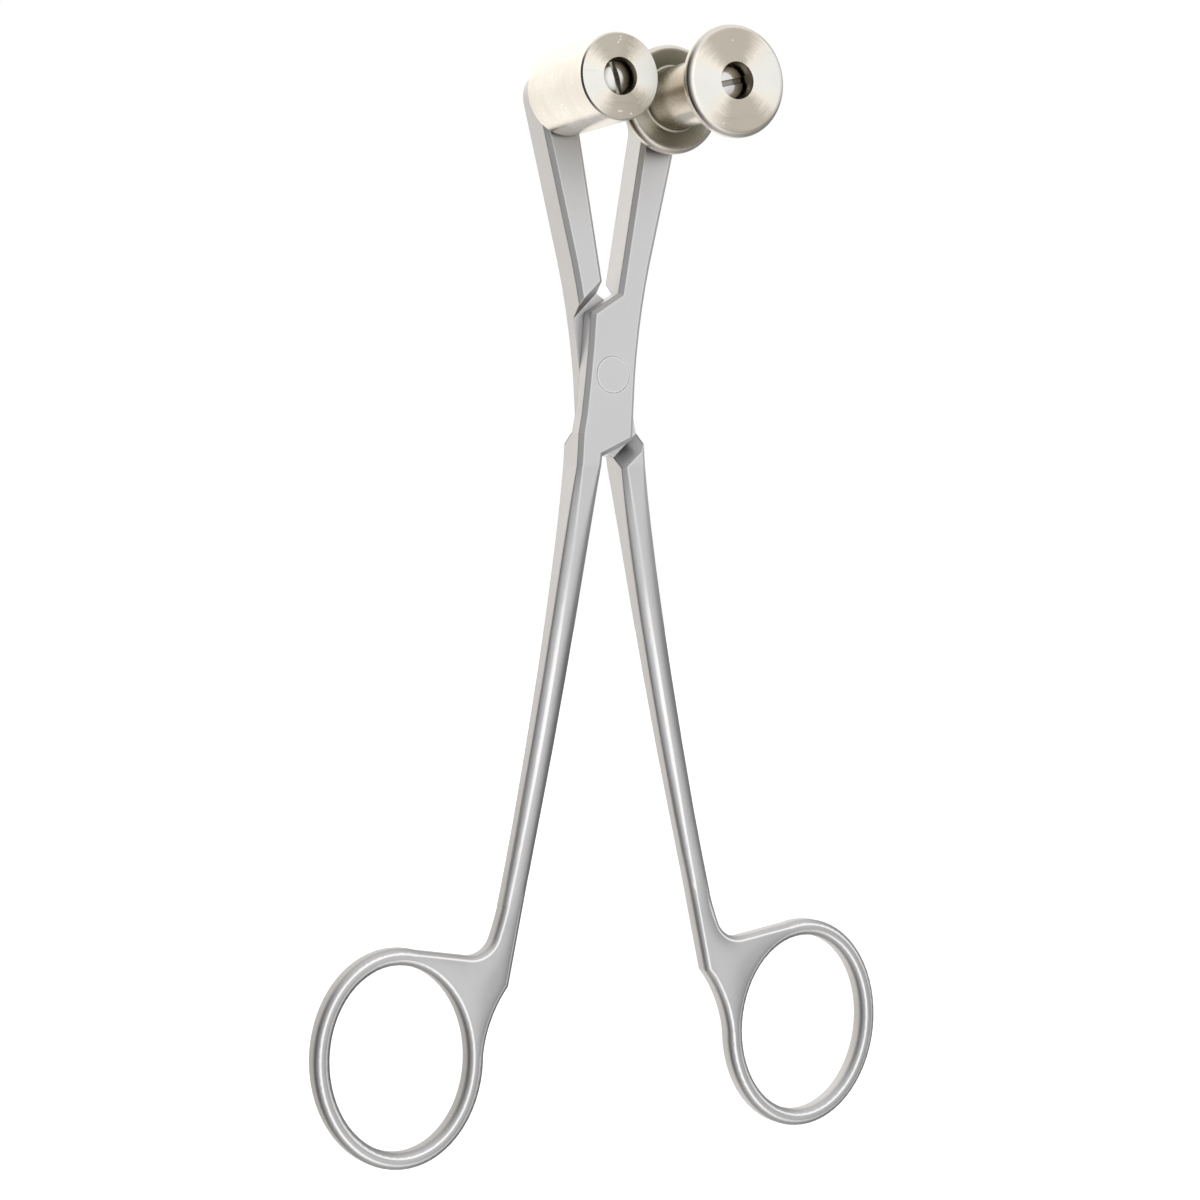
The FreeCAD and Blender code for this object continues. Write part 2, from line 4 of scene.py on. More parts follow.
import bpy
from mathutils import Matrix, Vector


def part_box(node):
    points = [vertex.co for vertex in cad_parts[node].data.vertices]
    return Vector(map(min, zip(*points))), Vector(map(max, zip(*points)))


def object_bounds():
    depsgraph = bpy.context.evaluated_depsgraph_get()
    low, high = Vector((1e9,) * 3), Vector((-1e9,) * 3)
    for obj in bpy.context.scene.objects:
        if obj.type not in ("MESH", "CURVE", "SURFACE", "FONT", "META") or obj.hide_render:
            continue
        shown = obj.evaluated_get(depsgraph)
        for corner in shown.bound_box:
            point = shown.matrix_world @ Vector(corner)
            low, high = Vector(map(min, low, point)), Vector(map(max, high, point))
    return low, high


# Looks of the roller forceps: satin arms, turned rollers, polished screws, a pale studio and the camera.
# Lengths are in metres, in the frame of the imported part. Colours are (red, green, blue).

# camera: it is turned about the pivot by azimuth, elevation and roll in degrees, then moved aside and down;
# its sensor and lens are in millimetres
AZIMUTH = -28.58
ELEVATION = 0.652
ROLL = -0.137
SENSOR_WIDTH = 36.0
LENS = 85.48
DISTANCE = 0.50596
SIDE_OFFSET = -0.00092
HEIGHT_OFFSET = -0.03964
SHIFT_X = 0.001
SHIFT_Y = -0.0008

# studio, as the metal sees it: brightness by direction in degrees, 0 straight ahead and 90 to the right
LOW_STUDIO = (
    (-180, 1.3),
    (-148, 1.15),
    (-125, 0.5),
    (-112, 0.05),
    (-84, 0.05),
    (-68, 0.42),
    (-40, 0.6),
    (-18, 1.1),
    (12, 1.15),
    (30, 0.72),
    (50, 0.4),
    (75, 0.28),
    (105, 0.25),
    (130, 0.45),
    (150, 1.1),
    (180, 1.3),
)
HIGH_STUDIO = (
    (-180, 1.45),
    (-148, 1.25),
    (-125, 0.7),
    (-110, 0.1),
    (-82, 0.08),
    (-66, 0.42),
    (-40, 0.58),
    (-15, 1.0),
    (10, 1.15),
    (32, 1.0),
    (75, 0.85),
    (105, 0.65),
    (130, 0.8),
    (150, 1.2),
    (180, 1.45),
)
CEILING = 0.95
GROUND = 0.55
WARM_BEHIND = 120
WARM_TINT = (1.0, 0.968, 0.928)
# upright part of a direction, -1 to 1, between which one zone of the studio runs into the next
LOW_TO_HIGH = (-0.15, 0.2)
HIGH_TO_CEILING = (0.55, 0.85)
GROUND_TO_LOW = (-0.95, -0.7)

# zones of the arms, as shares of the way from the pivot to the lowest point of the rings
HANDLE_ROUNDING = (0.102, 0.219)
HANDLE_LIGHT = (0.146, 0.365)
RING_START = (0.657, 0.701)
# the painted shade on the arms' sides deepens between these shares of the way down
SIDE_SHADE_ZONE = (0.146, 0.876)
# the same to the sides, as a share of the way out to the rings' outermost point: across it the painted shade
# on the arms' sides eases from left to right
SIDE_SHADE_REACH = 0.53

# radii over which the metal's edges look rounded, and how far the painted shade in its corners reaches
ARM_EDGE = 0.00045
JOINT_SOFTNESS = 0.00012
HANDLE_SOFTNESS = 0.0012
HANDLE_BOW = 0.0045
RING_BOW = 0.009
ARM_SHADE = 0.003
ROLLER_EDGE = 0.0002
ROLLER_SOFTNESS = 0.0001
ROLLER_SHADE = 0.012
SCREW_SOFTNESS = 0.00008
SCREW_SHADE = 0.0016

# the painted sheen of the rollers' faces lies across the upright, tilted by this angle
SHEEN_TILT = math.radians(12)
# length that a turn of one radian round a roller counts for in its marks, so that they run round it
LATHE_TURN = 0.0004

# how far a surface faces the front or rear, 0 to 1, where a painted highlight (bevels' front edges, crests)
# or a painted dark line (beside the bevels, ring flanks, roller rims) starts, is full, eases off and ends
BEVEL_RIDGE = (0.72, 0.82, 0.985, 1.0)
BEVEL_LINE = (0.08, 0.2, 0.6, 0.7)
CREST = (0.9, 0.95, 0.985, 0.999)
RING_FLANK = (0.45, 0.62, 0.8, 0.92)
ROLLER_RIM = (0.22, 0.4, 0.72, 0.86)
# the same where a share only rises or only falls: the painted shade on the arms' sides, and the rollers'
# faces
ARM_SIDE = (0.3, 0.8)
ROLLER_FACE = (0.9, 0.97)
# likeness of the true and the rounded normal between which an edge ends
EDGE_LIKENESS = (0.93, 0.995)
# X of a normal between which a surface stops leaning to the left, or comes to lean fully to the right
# where the painted shade on the right-leaning handles and rings comes in
LEANS_LEFT = (-0.08, -0.02)
HANDLE_LEANS_RIGHT = (-0.02, 0.42)
RING_LEANS_RIGHT = (0.0, 0.3)
# how upright the way from a roller's axis is, 0 to 1, where the painted dark line on its rim fades and where
# the
# # painted shade in its recess deepens
RIM_LINE_FADE = (0.55, 0.85)
RECESS_DEEPENS = (0.45, 0.75)

# how strong the painted shade, the painted dark lines and the specks are, 0 to 1
LOW_SIDE_SHARE = 0.55
HIGH_SIDE_SHARE = 0.1
RIGHT_SIDE_SHARE = 0.3
HANDLE_RIGHT_SHARE = 0.8
RING_RIGHT_SHARE = 0.55
# strength of the painted dark lines on the arms
LINE_SHARE = 0.85
FLANK_SHARE = 0.45
SPECK_SHARE = 0.8
# strength of the painted dark line on the rollers' rims
RIM_SHARE = 0.6
LEAST_RECESS_SHARE = 0.3
# what the cloudiness and the lathe's bands each count for in the tint of a roller's sides
CLOUD_TINT = 0.6
BANDS_TINT = 0.4

# roughness: the range that the cloudiness spans, and what finer marks, ridges, faces and edges change
CLOUD_RANGE = (0.3, 0.7)
SATIN_ROUGHNESS = (0.42, 0.48)
SATIN_SMEAR = 0.03
RIDGE_POLISH = -0.1
ROLLER_ROUGHNESS = (0.22, 0.28)
ROLLER_BANDS = 0.03
FACE_ROUGHNESS = 0.1
EDGE_POLISH = -0.08
SCRATCH_ROUGHNESS = 0.15
SCREW_ROUGHNESS = (0.13, 0.22)
BRONZE_ROUGHNESS = 0.4
SIDE_ANISOTROPY = 0.3
FACE_ANISOTROPY = 0.8
# how far the rings on a roller's faces break up its painted sheen, and how deep its scratches are against
# them
SHEEN_BREAK = 0.2
SCRATCH_DEPTH = 0.8

# colours, and ramps of them as (place, colour) stops
WHITE = (1.0, 1.0, 1.0)
SATIN = ((0.3, (0.705, 0.70, 0.70)), (0.7, (0.755, 0.745, 0.745)))
# painted shade on the arms' sides
SATIN_SIDE_SHADE = (0.22, 0.22, 0.20)
# painted shade where the handles and rings lean to the right
SATIN_RIGHT_SHADE = (0.24, 0.235, 0.24)
# painted dark line beside each bevel and along the rings' flanks
SATIN_PAINTED_DARK_LINE = (0.20, 0.20, 0.21)
# painted highlight on the bevels' front edges and on the crests
SATIN_PAINTED_HIGHLIGHT = (1.0, 0.99, 0.98)
# painted shade in the arms' corners
SATIN_CORNER_SHADE = ((0.12, (0.2, 0.2, 0.22)), (0.42, (0.95, 0.95, 0.95)))
ROLLER_SIDE = ((0.35, (0.74, 0.70, 0.63)), (0.65, (0.84, 0.81, 0.75)))
# painted sheen across the rollers' faces: bright beside the axis, dark above and below it
ROLLER_PAINTED_SHEEN = ((0.35, (1.0, 0.99, 0.93)), (0.62, (1.0, 0.93, 0.82)), (0.9, (0.56, 0.51, 0.43)))
ROLLER_SPECK = (1.0, 0.98, 0.94)
# painted dark line on the rollers' rims beside the axis
ROLLER_PAINTED_DARK_LINE = (0.16, 0.14, 0.12)
# painted shade in the rollers' corners, and deeper painted shade in the recesses of their faces
ROLLER_CORNER_SHADE = ((0.1, (0.42, 0.38, 0.32)), (0.5, (0.40, 0.36, 0.29)), (0.8, (0.80, 0.75, 0.67)))
ROLLER_RECESS_SHADE = ((0.1, (0.09, 0.10, 0.08)), (0.6, (0.18, 0.19, 0.15)), (0.88, (0.36, 0.36, 0.31)))
SCREW = ((0.3, (0.72, 0.71, 0.68)), (0.7, (0.80, 0.79, 0.77)))
# painted shade in the screws' corners
SCREW_CORNER_SHADE = ((0.2, (0.06, 0.055, 0.048)), (0.5, (0.36, 0.34, 0.3)))
BRONZE = ((0.35, (0.42, 0.29, 0.16)), (0.65, (0.60, 0.44, 0.27)))
OPEN_GROUND = (0.95, WHITE)

FLOOR_SIZE = 8.0
FLOOR_DROP = 0.012
FLOOR_PAINT = ((0.3, (0.93, 0.93, 0.93)), (0.7, (0.95, 0.95, 0.95)))
FLOOR_ROUGHNESS = 0.9
FLOOR_GLOW = 0.35

# numbers of a mix node's sockets for colours, because its sockets for other kinds share their names
MIX_SHARE = 0
MIX_FIRST = 6
MIX_SECOND = 7
MIX_RESULT = 2


class Nodes:
    """Short way to write the nodes of one material. Values may be sockets, numbers or (red, green, blue)."""

    def __init__(self, name):
        self.material = bpy.data.materials.new(name)
        self.material.use_nodes = True
        self.tree = self.material.node_tree
        self.shader = self.tree.nodes["Principled BSDF"]

    @classmethod
    def for_world(cls, world):
        nodes = cls.__new__(cls)
        world.use_nodes = True
        nodes.tree = world.node_tree
        nodes.shader = nodes.tree.nodes["Background"]
        return nodes

    def put(self, node, place, value):
        """Sets or links the input at a place, which is its name or number."""
        socket = node.inputs[place]
        if isinstance(value, bpy.types.NodeSocket):
            self.tree.links.new(value, socket)
        elif socket.type == "RGBA":
            socket.default_value = (*value, 1.0)
        else:
            socket.default_value = value

    def add(self, kind, settings=None, **inputs):
        """Adds a node. Settings are its properties, and underscores in the inputs' names are spaces."""
        node = self.tree.nodes.new(kind)
        for name, value in (settings or {}).items():
            setattr(node, name, value)
        for name, value in inputs.items():
            self.put(node, name.replace("_", " "), value)
        return node

    def finish(self, **inputs):
        """Sets the shader's inputs and returns the material."""
        for name, value in inputs.items():
            self.put(self.shader, name.replace("_", " "), value)
        return self.material

    # numbers

    def math(self, operation, *values):
        node = self.add("ShaderNodeMath", {"operation": operation})
        for place, value in enumerate(values):
            self.put(node, place, value)
        return node.outputs[0]

    def product(self, first, *others):
        for other in others:
            first = self.math("MULTIPLY", first, other)
        return first

    def total(self, first, *others):
        for other in others:
            first = self.math("ADD", first, other)
        return first

    def spread(self, value, low, high, start=0.0, end=1.0):
        """Maps a value from start..end to low..high."""
        ends = {"From_Min": start, "From_Max": end, "To_Min": low, "To_Max": high}
        return self.add("ShaderNodeMapRange", Value=value, **ends).outputs["Result"]

    def rising(self, value, start, end):
        """0 up to the start and 1 from the end on."""
        return self.spread(value, 0.0, 1.0, start, end)

    def falling(self, value, start, end):
        """1 up to the start and 0 from the end on."""
        return self.spread(value, 1.0, 0.0, start, end)

    def window(self, value, start, full, ease, end):
        """Rises from 0 to 1 between start and full, and falls back between ease and end."""
        return self.product(self.rising(value, start, full), self.falling(value, ease, end))

    # directions and places

    def position(self):
        """Object coordinates, which are the frame's own metres."""
        return self.add("ShaderNodeTexCoord").outputs["Object"]

    def parts(self, vector):
        """The X, Y and Z of a vector."""
        return self.add("ShaderNodeSeparateXYZ", Vector=vector).outputs

    def joined(self, **parts):
        """A vector from its X, Y and Z, of which those not given are 0."""
        return self.add("ShaderNodeCombineXYZ", **parts).outputs["Vector"]

    def vector_math(self, operation, first, second, result="Vector"):
        node = self.add("ShaderNodeVectorMath", {"operation": operation})
        self.put(node, 0, first)
        self.put(node, 1, second)
        return node.outputs[result]

    def true_normal(self):
        return self.add("ShaderNodeNewGeometry").outputs["Normal"]

    def rounded(self, radius):
        """Normal that rounds off hard edges by a radius."""
        return self.add("ShaderNodeBevel", {"samples": 6}, Radius=radius).outputs["Normal"]

    def depth_share(self, normal):
        """How far a normal points along the Y axis, to the front or the rear, 0 to 1."""
        return self.math("ABSOLUTE", self.parts(normal)["Y"])

    def upright_share(self, vector, tilt):
        """How far a direction in the object's own axes leans to the upright in the world, 0 to 1."""
        settings = {"vector_type": "VECTOR", "convert_from": "OBJECT", "convert_to": "WORLD"}
        turned = self.add("ShaderNodeVectorTransform", settings, Vector=vector).outputs["Vector"]
        upright = (-math.sin(tilt), 0.0, math.cos(tilt))
        return self.math("ABSOLUTE", self.vector_math("DOT_PRODUCT", turned, upright, "Value"))

    def edge_share(self, radius):
        """1 on edges and 0 on flat ground; on the arms it places painted highlights and painted dark lines.
        """
        likeness = self.vector_math("DOT_PRODUCT", self.rounded(radius), self.true_normal(), "Value")
        return self.falling(likeness, *EDGE_LIKENESS)

    def open_sky(self, distance):
        """1 on open ground and 0 deep in a corner, looking as far as the distance."""
        return self.add("ShaderNodeAmbientOcclusion", {"samples": 6}, Distance=distance).outputs["AO"]

    # patterns

    def noise(self, vector, scale, detail=2.0, roughness=0.5):
        node = self.add("ShaderNodeTexNoise", Vector=vector, Scale=scale, Detail=detail, Roughness=roughness)
        return node.outputs["Fac"]

    def specks(self, place, scale):
        """Small scattered dots."""
        cells = self.add("ShaderNodeTexVoronoi", Vector=place, Scale=scale).outputs["Distance"]
        dots = self.falling(cells, 0.1, 0.22)
        some = self.rising(self.noise(place, scale * 0.35), 0.53, 0.58)
        return self.product(dots, some)

    def scratches(self, place):
        """Sparse fine straight scratches in two directions."""
        both = []
        for turn, stretch in ((0.6, 0.05), (2.1, 0.04)):
            turned = {"Rotation": (0, turn, 0), "Scale": (stretch, 1, 1)}
            mapping = self.add("ShaderNodeMapping", Vector=place, **turned)
            lines = self.noise(mapping.outputs["Vector"], scale=2600.0, detail=1.0)
            both.append(self.rising(lines, 0.70, 0.74))
        return self.math("MAXIMUM", *both)

    def bump(self, height, strength, distance, below=None):
        """Normal with small bumps, on top of the normal below where one is given."""
        node = self.add("ShaderNodeBump", Height=height, Strength=strength, Distance=distance)
        if below is not None:
            self.put(node, "Normal", below)
        return node.outputs["Normal"]

    # colours

    def ramp(self, value, *stops):
        """Colour ramp from (place, colour) stops."""
        node = self.add("ShaderNodeValToRGB", Fac=value)
        ramp = node.color_ramp
        for element, (place, colour) in zip(ramp.elements, (stops[0], stops[-1])):
            element.position = place
            element.color = (*colour, 1)
        for place, colour in stops[1:-1]:
            ramp.elements.new(place).color = (*colour, 1)
        return node.outputs["Color"]

    def mix(self, share, first, second, blend="MIX"):
        """Colour that goes from the first to the second as the share goes from 0 to 1."""
        node = self.add("ShaderNodeMix", {"data_type": "RGBA", "blend_type": blend})
        self.put(node, MIX_SHARE, share)
        self.put(node, MIX_FIRST, first)
        self.put(node, MIX_SECOND, second)
        return node.outputs[MIX_RESULT]

    def shade(self, colour, light, stops):
        """Paints shade: multiplies a colour with the ramp of stops, which ends in white on open ground."""
        return self.mix(1.0, colour, self.ramp(light, *stops, OPEN_GROUND), "MULTIPLY")


def down(share):
    """Height at a share of the way from the pivot down to the lowest point of the rings."""
    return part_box("front_arm")[0].z * share


def outward(share):
    """Distance from the middle at a share of the way out to the outermost point of the rings."""
    return -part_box("front_arm")[0].x * share


def further_down(nodes, height, zone):
    """0 above a zone of the arms and 1 below it."""
    start, end = zone
    return nodes.falling(height, down(end), down(start))


def satin_polish_and_highlights(nodes, height):
    """1 where the metal is smoother and has a painted highlight: the front edges of the bevels, and the
    crests of handles and rings.
    """
    edge_depth = nodes.depth_share(nodes.rounded(ARM_EDGE))
    bevel = nodes.product(nodes.edge_share(ARM_EDGE), nodes.window(edge_depth, *BEVEL_RIDGE))
    leans_left = nodes.falling(nodes.parts(nodes.true_normal())["X"], *LEANS_LEFT)
    lit = nodes.math("MAXIMUM", further_down(nodes, height, RING_START), leans_left)
    crest = nodes.window(nodes.depth_share(nodes.true_normal()), *CREST)
    crest = nodes.product(further_down(nodes, height, HANDLE_LIGHT), lit, crest)
    return nodes.math("MAXIMUM", bevel, crest)


def satin_painted_dark_lines(nodes, height):
    """Share of the painted dark lines: beside the bevels, and fainter along the flanks of the rings."""
    edge_depth = nodes.depth_share(nodes.rounded(ARM_EDGE))
    beside = nodes.product(nodes.edge_share(ARM_EDGE), nodes.window(edge_depth, *BEVEL_LINE))
    flank = nodes.window(nodes.depth_share(nodes.rounded(HANDLE_BOW)), *RING_FLANK)
    flank = nodes.product(further_down(nodes, height, RING_START), flank, FLANK_SHARE)
    return nodes.product(nodes.math("MAXIMUM", beside, flank), LINE_SHARE)


def satin_side_shade(nodes, left_right, height):
    """Share of the painted shade on the sides: more further down, and less to the right."""
    side = nodes.falling(nodes.depth_share(nodes.true_normal()), *ARM_SIDE)
    start, end = SIDE_SHADE_ZONE
    lower = nodes.spread(height, LOW_SIDE_SHARE, HIGH_SIDE_SHARE, down(end), down(start))
    reach = outward(SIDE_SHADE_REACH)
    return nodes.product(side, lower, nodes.spread(left_right, 1.0, RIGHT_SIDE_SHARE, -reach, reach))


def satin_right_shade(nodes, height):
    """Share of the painted shade where the rounded form of the handles and rings leans to the right."""
    handle = nodes.rising(nodes.parts(nodes.rounded(HANDLE_BOW))["X"], *HANDLE_LEANS_RIGHT)
    handle = nodes.product(handle, HANDLE_RIGHT_SHARE, further_down(nodes, height, HANDLE_LIGHT))
    ring = nodes.rising(nodes.parts(nodes.rounded(RING_BOW))["X"], *RING_LEANS_RIGHT)
    ring = nodes.product(ring, RING_RIGHT_SHARE, further_down(nodes, height, RING_START))
    return nodes.math("MAXIMUM", handle, ring)


def satin_steel(node):
    """Bead-blasted stainless steel: fine grain, a faint cloudiness, softly rounded handles, smoother crests
    and bevel edges with a painted highlight, painted shade on the sides and where the form leans right, a
    painted dark line beside each bevel and painted shade in the joint's corners."""
    nodes = Nodes("satin_steel_" + node.name)
    place = nodes.position()
    left_right, _, height = nodes.parts(place)
    cloud = nodes.noise(place, scale=70.0, detail=4.0)
    smear = nodes.noise(place, scale=900.0, detail=3.0)
    grain = nodes.noise(place, scale=6500.0, roughness=0.6)
    # mask of a painted highlight, which also lowers the roughness
    ridge = satin_polish_and_highlights(nodes, height)
    colour = nodes.ramp(cloud, *SATIN)
    # painted shade on the sides, deeper lower down and on the left
    colour = nodes.mix(satin_side_shade(nodes, left_right, height), colour, SATIN_SIDE_SHADE)
    # painted shade where the handles and rings lean to the right
    colour = nodes.mix(satin_right_shade(nodes, height), colour, SATIN_RIGHT_SHADE)
    # painted dark lines beside the bevels and along the rings' flanks
    colour = nodes.mix(satin_painted_dark_lines(nodes, height), colour, SATIN_PAINTED_DARK_LINE)
    # painted highlight on the bevels' front edges and on the crests
    colour = nodes.mix(ridge, colour, SATIN_PAINTED_HIGHLIGHT)
    # painted shade in the joint's corners
    colour = nodes.shade(colour, nodes.open_sky(ARM_SHADE), SATIN_CORNER_SHADE)
    rough = nodes.total(
        nodes.spread(cloud, *SATIN_ROUGHNESS, *CLOUD_RANGE),
        nodes.spread(smear, -SATIN_SMEAR, SATIN_SMEAR),
        nodes.product(ridge, RIDGE_POLISH),
    )
    start, end = HANDLE_ROUNDING
    softness = nodes.spread(height, HANDLE_SOFTNESS, JOINT_SOFTNESS, down(end), down(start))
    normal = nodes.bump(grain, strength=0.3, distance=0.000012, below=nodes.rounded(softness))
    return nodes.finish(Base_Color=colour, Metallic=1.0, Roughness=rough, Normal=normal)


def roller_places(nodes, node):
    """Three vectors: the place from the roller's middle, the direction away from its axis, and the place
    as a lathe's tool meets it, which hardly changes round the axis."""
    low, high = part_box(node.name)
    place = nodes.vector_math("SUBTRACT", nodes.position(), (low + high) / 2)
    x, y, z = nodes.parts(place)
    radius = nodes.math("SQRT", nodes.total(nodes.math("POWER", x, 2.0), nodes.math("POWER", z, 2.0)))
    away = nodes.joined(X=nodes.math("DIVIDE", x, radius), Z=nodes.math("DIVIDE", z, radius))
    turn = nodes.product(nodes.math("ARCTAN2", z, x), LATHE_TURN)
    return place, away, nodes.joined(X=radius, Y=y, Z=turn)


def turned_colour(nodes, place, upright, tint, face):
    """Warm sides and faces, a painted sheen across the faces, specks, a painted dark line on the rims beside
    the axis, and painted shade in the corners. On the faces the painted shade is deeper above and below the
    axis than beside it."""
    # the faces get a painted sheen
    colour = nodes.mix(face, nodes.ramp(tint, *ROLLER_SIDE), nodes.ramp(upright, *ROLLER_PAINTED_SHEEN))
    specks = nodes.product(nodes.specks(place, scale=900.0), SPECK_SHARE)
    colour = nodes.mix(specks, colour, ROLLER_SPECK)
    # painted dark line on the rims beside the axis
    rim = nodes.window(nodes.depth_share(nodes.true_normal()), *ROLLER_RIM)
    rim = nodes.product(nodes.falling(upright, *RIM_LINE_FADE), rim, RIM_SHARE)
    colour = nodes.mix(rim, colour, ROLLER_PAINTED_DARK_LINE)
    # painted shade: in the corners of the sides, and deeper in the faces' recesses above and below the axis
    open_sky = nodes.open_sky(ROLLER_SHADE)
    recess = nodes.shade(colour, open_sky, ROLLER_RECESS_SHADE)
    recess = nodes.mix(nodes.spread(upright, LEAST_RECESS_SHARE, 1.0, *RECESS_DEEPENS), colour, recess)
    return nodes.mix(face, nodes.shade(colour, open_sky, ROLLER_CORNER_SHADE), recess)


def turned_steel(node):
    """Stainless steel turned about the node's own axis: fine rings on its faces, a lathe's bands round its
    sides, small scratches and specks, a warm tint, a painted sheen and painted brown shade in its corners."""
    nodes = Nodes("turned_steel_" + node.name)
    place, away, lathe = roller_places(nodes, node)
    rings = nodes.noise(lathe, scale=5200.0, detail=3.0, roughness=0.7)
    bands = nodes.noise(lathe, scale=700.0, detail=3.0, roughness=0.6)
    cloud = nodes.noise(place, scale=160.0, detail=4.0)
    scratch = nodes.scratches(place)
    face = nodes.rising(nodes.depth_share(nodes.true_normal()), *ROLLER_FACE)
    # mask of the painted sheen: how upright the way from the axis is, broken up by the rings
    sheen_break = nodes.spread(rings, -SHEEN_BREAK, SHEEN_BREAK)
    upright = nodes.total(nodes.upright_share(away, SHEEN_TILT), sheen_break)
    tint = nodes.total(nodes.product(cloud, CLOUD_TINT), nodes.product(bands, BANDS_TINT))
    rough = nodes.total(
        nodes.spread(cloud, *ROLLER_ROUGHNESS, *CLOUD_RANGE),
        nodes.spread(bands, -ROLLER_BANDS, ROLLER_BANDS),
        nodes.product(face, FACE_ROUGHNESS),
        nodes.product(nodes.edge_share(ROLLER_EDGE), EDGE_POLISH),
        nodes.product(scratch, SCRATCH_ROUGHNESS),
    )
    marks = nodes.total(rings, nodes.product(scratch, SCRATCH_DEPTH))
    tangent = nodes.add("ShaderNodeTangent", {"direction_type": "RADIAL", "axis": "Y"})
    return nodes.finish(
        Base_Color=turned_colour(nodes, place, upright, tint, face),
        Metallic=1.0,
        Roughness=rough,
        Normal=nodes.bump(marks, strength=0.25, distance=0.000008, below=nodes.rounded(ROLLER_SOFTNESS)),
        Anisotropic=nodes.spread(face, SIDE_ANISOTROPY, FACE_ANISOTROPY),
        Tangent=tangent.outputs["Tangent"],
    )


def polished_steel(node):
    """Bright steel of the screws, axles and washers: smooth, with faint marks and painted shade in the
    corners.
    """
    nodes = Nodes("screw_steel_" + node.name)
    place = nodes.position()
    cloud = nodes.noise(place, scale=500.0, detail=3.0)
    marks = nodes.noise(place, scale=4000.0)
    # painted shade in the corners
    colour = nodes.shade(nodes.ramp(cloud, *SCREW), nodes.open_sky(SCREW_SHADE), SCREW_CORNER_SHADE)
    rough = nodes.spread(cloud, *SCREW_ROUGHNESS, *CLOUD_RANGE)
    normal = nodes.bump(marks, strength=0.2, distance=0.000006, below=nodes.rounded(SCREW_SOFTNESS))
    return nodes.finish(Base_Color=colour, Metallic=1.0, Roughness=rough, Normal=normal)


def bronze(node):
    """Sintered bronze of the bushes, seen only deep in the bores."""
    nodes = Nodes("bronze_" + node.name)
    pores = nodes.noise(nodes.position(), scale=3000.0, detail=3.0)
    colour = nodes.ramp(pores, *BRONZE)
    normal = nodes.bump(pores, strength=0.3, distance=0.00002)
    return nodes.finish(Base_Color=colour, Metallic=1.0, Roughness=BRONZE_ROUGHNESS, Normal=normal)


MATERIALS = {
    "satin_steel": satin_steel,
    "turned_steel": turned_steel,
    "axle_steel": polished_steel,
    "washer_steel": polished_steel,
    "screw_steel": polished_steel,
    "bronze": bronze,
}


def paint_nodes(frame):
    """Gives each node the material that belongs to its slot in the record."""
    for row in frame["record"]["subparts"]:
        node = frame["nodes"][row["node"]]
        material = MATERIALS[row["material_slot"]](node)
        for slot in node.material_slots:
            slot.material = material


def pivot_point():
    """Middle of the pivot rivet."""
    low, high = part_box("pivot_rivet")
    return (low + high) / 2


def camera_axes():
    """Right, up and back directions of the camera."""
    azimuth = math.radians(AZIMUTH)
    elevation = math.radians(ELEVATION)
    roll = math.radians(ROLL)
    back = Vector((
        math.sin(azimuth) * math.cos(elevation),
        -math.cos(azimuth) * math.cos(elevation),
        math.sin(elevation),
    ))
    level = Vector((math.cos(azimuth), math.sin(azimuth), 0))
    upright = back.cross(level)
    right = level * math.cos(roll) + upright * math.sin(roll)
    up = upright * math.cos(roll) - level * math.sin(roll)
    return right, up, back


def add_camera():
    """Camera at the viewing angle and distance, moved down from the pivot to the middle of the tool."""
    right, up, back = camera_axes()
    data = bpy.data.cameras.new("camera")
    data.sensor_width = SENSOR_WIDTH
    data.lens = LENS
    data.shift_x = SHIFT_X
    data.shift_y = SHIFT_Y
    camera = bpy.data.objects.new("camera", data)
    bpy.context.scene.collection.objects.link(camera)
    spot = pivot_point() + back * DISTANCE + right * SIDE_OFFSET + up * HEIGHT_OFFSET
    matrix = camera.matrix_world.copy()
    for column, direction in enumerate((right, up, back, spot)):
        for row in range(3):
            matrix[row][column] = direction[row]
    camera.matrix_world = matrix
    bpy.context.scene.camera = camera


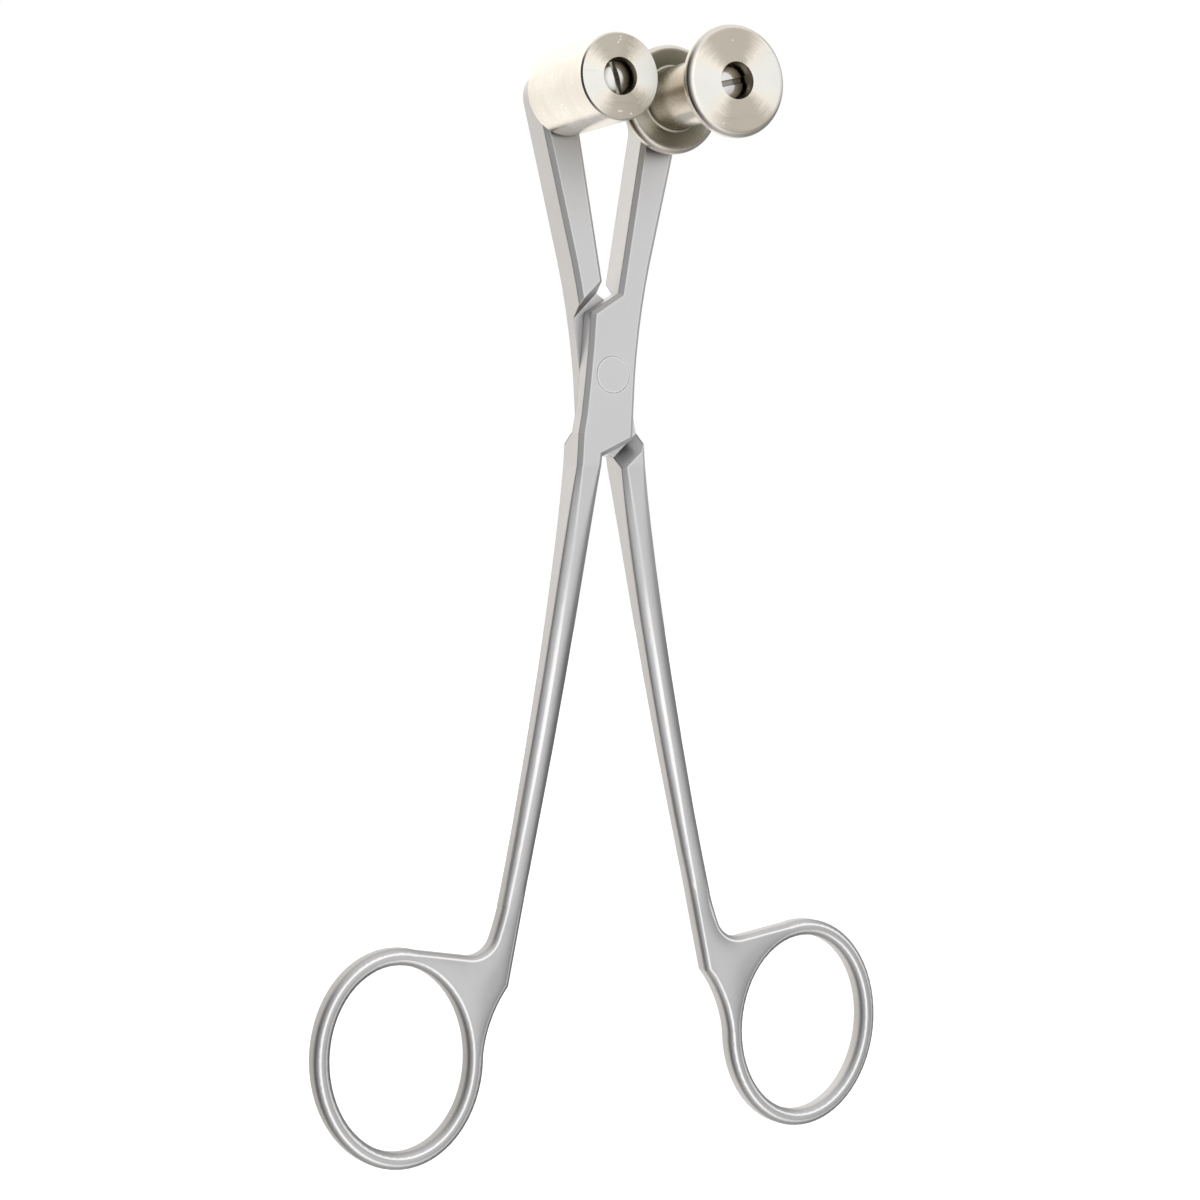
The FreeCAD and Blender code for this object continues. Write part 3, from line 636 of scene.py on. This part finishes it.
def add_floor(low):
    """White floor a little below the rings, bright enough to run into the white background."""
    bpy.ops.mesh.primitive_plane_add(size=FLOOR_SIZE, location=(0, 0, low.z - FLOOR_DROP))
    floor = bpy.context.object
    floor.name = "floor"
    nodes = Nodes("floor_paint")
    paint = nodes.finish(
        Base_Color=nodes.ramp(nodes.noise(nodes.position(), scale=3.0), *FLOOR_PAINT),
        Roughness=FLOOR_ROUGHNESS,
        Emission_Color=WHITE,
        Emission_Strength=FLOOR_GLOW,
    )
    floor.data.materials.append(paint)
    floor.visible_glossy = False


def grey(value):
    return (value, value, value)


def ramp_stops(studio):
    """Ramp stops of a studio list, from straight behind (-180) round to there again (180). What stands
    behind the object is slightly warm."""
    stops = []
    for degrees, value in studio:
        tint = WARM_TINT if abs(degrees) > WARM_BEHIND else WHITE
        stops.append((degrees / 360 + 0.5, tuple(value * share for share in tint)))
    return stops


def set_studio():
    """Soft studio light as the metal sees it: white behind, a wide soft box in front, dark to the left and
    low down to the right, and white above. The camera itself sees plain white."""
    world = bpy.data.worlds.new("studio")
    bpy.context.scene.world = world
    nodes = Nodes.for_world(world)
    left_right, depth, height = nodes.parts(nodes.add("ShaderNodeTexCoord").outputs["Generated"])
    turn = nodes.math("ARCTAN2", left_right, nodes.product(depth, -1.0))
    turn = nodes.rising(turn, -math.pi, math.pi)
    low = nodes.ramp(turn, *ramp_stops(LOW_STUDIO))
    high = nodes.ramp(turn, *ramp_stops(HIGH_STUDIO))
    colour = nodes.mix(nodes.rising(height, *LOW_TO_HIGH), low, high)
    colour = nodes.mix(nodes.rising(height, *HIGH_TO_CEILING), colour, grey(CEILING))
    colour = nodes.mix(nodes.falling(height, *GROUND_TO_LOW), colour, grey(GROUND))
    seen = nodes.add("ShaderNodeLightPath").outputs["Is Camera Ray"]
    nodes.put(nodes.shader, "Color", nodes.mix(seen, colour, WHITE))


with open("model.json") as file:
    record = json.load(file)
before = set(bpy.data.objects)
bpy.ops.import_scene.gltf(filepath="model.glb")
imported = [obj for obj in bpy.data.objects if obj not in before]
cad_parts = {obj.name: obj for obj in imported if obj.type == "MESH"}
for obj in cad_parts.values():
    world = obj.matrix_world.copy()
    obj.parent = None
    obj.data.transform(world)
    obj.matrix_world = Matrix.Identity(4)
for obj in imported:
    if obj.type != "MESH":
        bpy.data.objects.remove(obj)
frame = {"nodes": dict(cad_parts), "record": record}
cad_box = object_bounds()
paint_nodes(frame)
add_camera()
set_studio()
add_floor(cad_box[0])
bpy.context.scene.view_settings.view_transform = "Standard"
